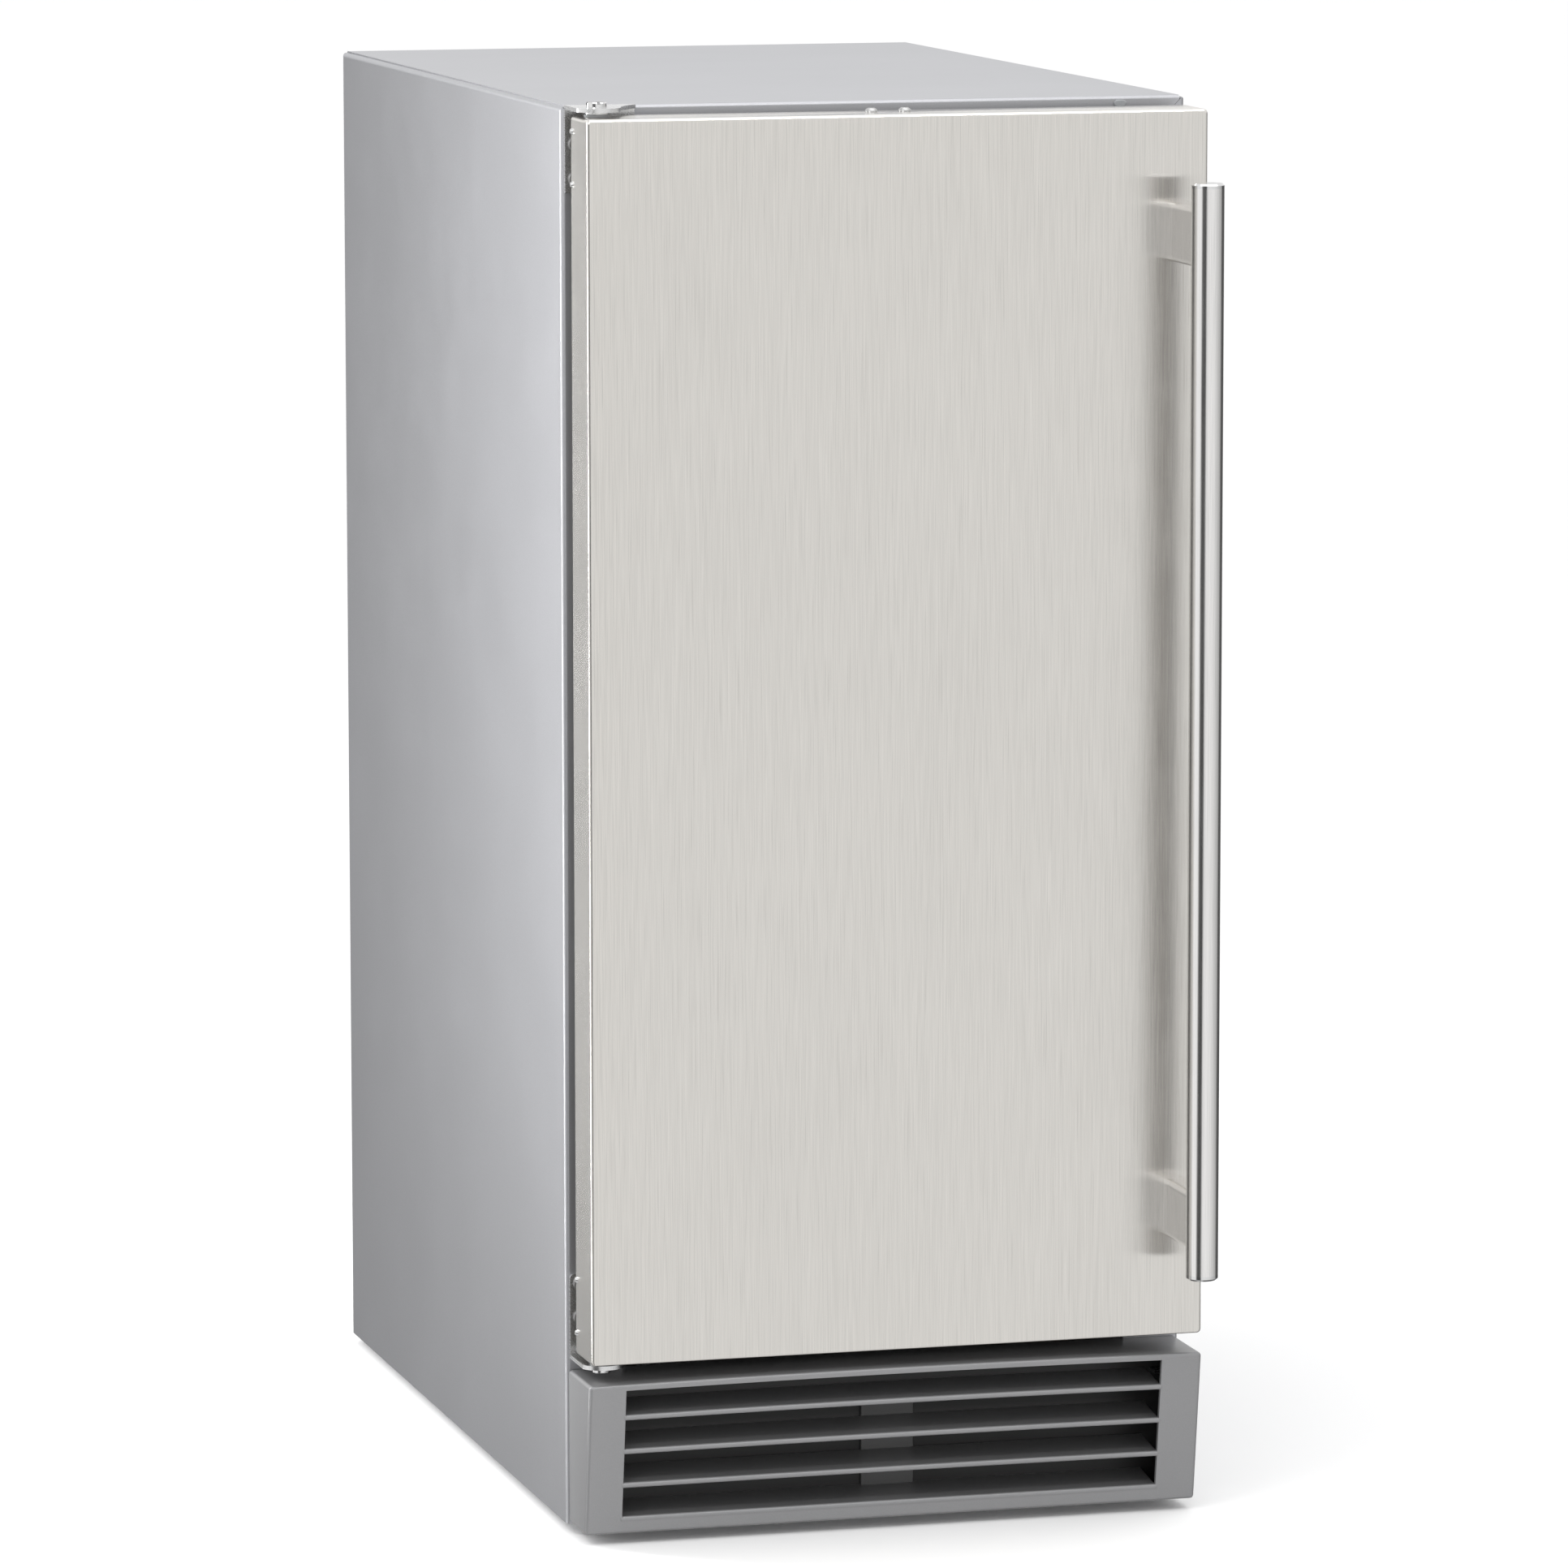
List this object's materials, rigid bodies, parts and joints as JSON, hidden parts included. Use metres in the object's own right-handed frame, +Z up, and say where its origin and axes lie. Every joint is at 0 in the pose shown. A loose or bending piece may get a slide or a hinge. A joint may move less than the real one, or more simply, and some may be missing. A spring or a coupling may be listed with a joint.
{
  "type": "undercounter refrigerator",
  "caption": "Narrow undercounter refrigerator with a left-hinged solid door, vertical bar handle and louvred kick grille.",
  "frame": {"origin": "on the floor, under the middle of the whole object's box, feet soles at z = 0", "axes": "+X to the right seen from the front, +Y to the back, +Z up; the door faces -Y"},
  "size_m": [0.375, 0.684, 0.8395],
  "materials": {
    "brushed_stainless": "brushed, vertical grain",
    "cabinet_steel": "satin",
    "zinc_steel": "zinc-coated sheet",
    "handle_steel": "satin tube",
    "polished_steel": "polished",
    "hinge_steel": "satin",
    "screw_steel": "zinc plated",
    "shelf_wire": "bright chrome wire",
    "strip_steel": "stainless strip",
    "grille_grey": "metallic grey moulding",
    "liner_white": "thermoformed, low gloss",
    "foam": "rigid insulation",
    "seal_rubber": "soft extrusion",
    "black_plastic": "moulded",
    "grey_plastic": "moulded",
    "lamp_diffuser": "frosted",
    "black_enamel": "satin enamel",
    "fin_aluminium": "mill finish",
    "copper": "drawn copper"
  },
  "bodies": {
    "cabinet": {"side_panel_left": "cabinet_steel", "side_panel_right": "cabinet_steel", "top_panel": "cabinet_steel", "front_rail": "cabinet_steel", "back_panel": "zinc_steel", "rear_cover": "zinc_steel", "base_pan": "zinc_steel", "machine_deck": "zinc_steel", "fan_shroud": "zinc_steel", "hinge_pin_top": "polished_steel", "hinge_pin_bottom": "polished_steel", "hinge_bracket_top": "hinge_steel", "hinge_bracket_bottom": "hinge_steel", "hinge_washers": "hinge_steel", "hinge_screws": "screw_steel", "panel_screws": "screw_steel", "foot_inserts": "screw_steel", "grille_clips": "screw_steel", "shelf_strips": "strip_steel", "shelf_clips": "strip_steel", "kick_grille": "grille_grey", "inner_liner": "liner_white", "evaporator_cover": "liner_white", "control_housing": "liner_white", "drip_tray": "liner_white", "drain_tube": "liner_white", "foam_insulation": "foam", "compressor_grommets": "seal_rubber", "cord_gland": "black_plastic", "relay_box": "black_plastic", "rim_plug": "grey_plastic", "lamp_lens": "lamp_diffuser", "compressor": "black_enamel", "evaporator_fan_motor": "black_enamel", "condenser_fan_motor": "black_enamel", "evaporator_coil": "fin_aluminium", "condenser_coil": "fin_aluminium", "filter_drier": "copper", "refrigerant_lines": "copper"},
    "door": {"door_skin": "brushed_stainless", "door_foam": "foam", "door_liner": "liner_white", "door_gasket": "seal_rubber", "hinge_bushings": "grey_plastic", "door_top_screws": "polished_steel", "door_rivets": "polished_steel", "handle_bar": "handle_steel", "handle_end_caps": "polished_steel", "handle_posts": "handle_steel", "handle_bolts": "screw_steel"},
    "shelf_bottom": {"shelf_bottom": "shelf_wire"},
    "shelf_middle": {"shelf_middle": "shelf_wire"},
    "shelf_top": {"shelf_top": "shelf_wire"},
    "thermostat_knob": {"thermostat_knob": "grey_plastic"},
    "evaporator_fan": {"evaporator_fan_blade": "black_plastic"},
    "condenser_fan": {"condenser_fan_blade": "black_plastic"},
    "foot_front_left": {"foot_front_left": "black_plastic"},
    "foot_front_right": {"foot_front_right": "black_plastic"},
    "foot_rear_left": {"foot_rear_left": "black_plastic"},
    "foot_rear_right": {"foot_rear_right": "black_plastic"}
  },
  "joints": [
    {"name": "door_hinge", "type": "hinge", "parent": "cabinet", "child": "door", "pos_m": [-0.173, -0.265, 0.4705], "axis": [0, 0, -1], "range_deg": [0, 110]},
    {"name": "thermostat_turn", "type": "hinge", "parent": "cabinet", "child": "thermostat_knob", "pos_m": [0.034, -0.176, 0.7825], "axis": [0, -1, 0], "range_deg": [-150, 150]},
    {"name": "evaporator_fan_spin", "type": "hinge", "parent": "cabinet", "child": "evaporator_fan", "pos_m": [0, 0.241, 0.722], "axis": [0, -1, 0], "continuous": true},
    {"name": "condenser_fan_spin", "type": "hinge", "parent": "cabinet", "child": "condenser_fan", "pos_m": [-0.01, -0.149, 0.057], "axis": [0, -1, 0], "continuous": true},
    {"name": "shelf_bottom_slide", "type": "slide", "parent": "cabinet", "child": "shelf_bottom", "axis": [0, -1, 0], "range_m": [0, 0.028]},
    {"name": "shelf_middle_slide", "type": "slide", "parent": "cabinet", "child": "shelf_middle", "axis": [0, -1, 0], "range_m": [0, 0.028]},
    {"name": "shelf_top_slide", "type": "slide", "parent": "cabinet", "child": "shelf_top", "axis": [0, -1, 0], "range_m": [0, 0.028]},
    {"name": "foot_front_left_level", "type": "slide", "parent": "cabinet", "child": "foot_front_left", "axis": [0, 0, -1], "range_m": [0, 0.022]},
    {"name": "foot_front_right_level", "type": "slide", "parent": "cabinet", "child": "foot_front_right", "axis": [0, 0, -1], "range_m": [0, 0.022]},
    {"name": "foot_rear_left_level", "type": "slide", "parent": "cabinet", "child": "foot_rear_left", "axis": [0, 0, -1], "range_m": [0, 0.022]},
    {"name": "foot_rear_right_level", "type": "slide", "parent": "cabinet", "child": "foot_rear_right", "axis": [0, 0, -1], "range_m": [0, 0.022]}
  ]
}
